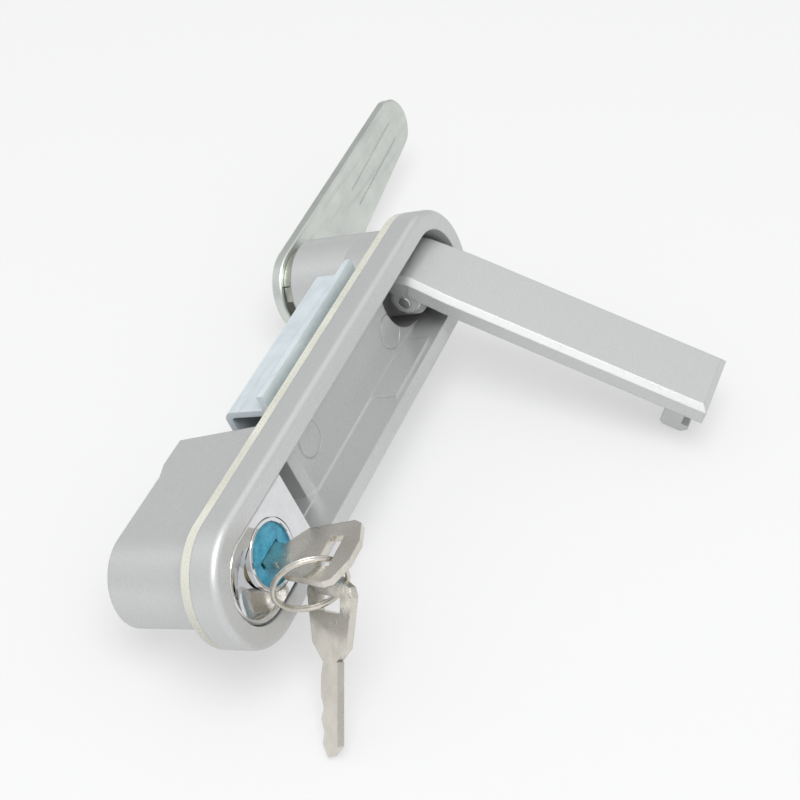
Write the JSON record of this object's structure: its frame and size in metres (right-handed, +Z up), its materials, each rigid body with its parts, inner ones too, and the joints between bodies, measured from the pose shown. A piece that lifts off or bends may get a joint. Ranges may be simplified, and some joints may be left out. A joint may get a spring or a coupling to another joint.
{
  "type": "swing handle lock",
  "caption": "Swing handle lock with a lifting and turning handle, keyed push button, rear clamp bracket, cam blade and spare key on a ring.",
  "frame": {"origin": "spindle axis at the back plane of the front flange", "axes": "+X along the lock towards the spindle end, +Y into the panel, +Z up across the lock"},
  "size_m": [0.2407, 0.1306, 0.0851],
  "materials": {
    "housing_paint": "satin",
    "handle_paint": "satin",
    "gasket_rubber": "translucent",
    "zinc_steel": "zinc plated",
    "bright_steel": "bright",
    "chrome": "polished",
    "brass": "machined",
    "blue_plastic": "satin",
    "seal_rubber": "matt",
    "nickel": "nickel plated"
  },
  "bodies": {
    "frame": {"housing": "housing_paint", "gasket": "gasket_rubber", "clamp_bracket": "zinc_steel", "bracket_screw_upper": "zinc_steel", "bracket_screw_lower": "zinc_steel", "fixed_washer": "zinc_steel"},
    "spindle": {"spindle": "bright_steel", "spindle_seal": "seal_rubber", "moving_washer": "zinc_steel", "cam": "zinc_steel", "spring_washer": "bright_steel", "cam_screw": "bright_steel"},
    "handle": {"handle": "handle_paint", "hinge_pin": "bright_steel"},
    "button": {"lock_button": "chrome", "cylinder_body": "brass", "retaining_clip": "bright_steel", "bezel_ring": "chrome", "button_spring": "bright_steel"},
    "latch": {"latch": "bright_steel"},
    "plug": {"plug": "brass", "dust_cover": "blue_plastic", "tongue": "zinc_steel", "tongue_screw": "bright_steel"},
    "first_key": {"key_1": "nickel"},
    "ring": {"key_ring": "nickel"},
    "second_key": {"key_2": "nickel"}
  },
  "joints": [
    {"name": "spindle_turn", "type": "hinge", "parent": "frame", "child": "spindle", "pos_m": [0, 0, 0], "axis": [0, -1, 0], "range_deg": [-90, 0]},
    {"name": "handle_lift", "type": "hinge", "parent": "spindle", "child": "handle", "pos_m": [0, 0.0003, -0.0024], "axis": [-1, 0, 0], "range_deg": [-6, 16]},
    {"name": "button_press", "type": "slide", "parent": "frame", "child": "button", "axis": [0, 1, 0], "range_m": [0, 0.0026], "stiffness_N_per_m": 900, "springref_m": -0.003, "deforming": ["button_spring"]},
    {"name": "latch_slide", "type": "slide", "parent": "frame", "child": "latch", "axis": [-1, 0, 0], "range_m": [0, 0.00234]},
    {"name": "plug_turn", "type": "hinge", "parent": "button", "child": "plug", "pos_m": [-0.119, 0, 0], "axis": [0, -1, 0], "range_deg": [-90, 0]},
    {"name": "key_out", "type": "slide", "parent": "plug", "child": "first_key", "axis": [0, -1, 0], "range_m": [0, 0.025]},
    {"name": "ring_swing", "type": "hinge", "parent": "first_key", "child": "ring", "pos_m": [-0.12109, -0.02639, 0], "axis": [0.5102, -0.3914, -0.7659], "range_deg": [-25, 10]},
    {"name": "second_key_swing", "type": "hinge", "parent": "ring", "child": "second_key", "pos_m": [-0.1218, -0.01797, -0.01511], "axis": [-0.5473, 0.8363, -0.0337], "range_deg": [-20, 4]}
  ],
  "couplings": [
    {"joint": "latch_slide", "follows": "button_press", "ratio": 0.9}
  ]
}
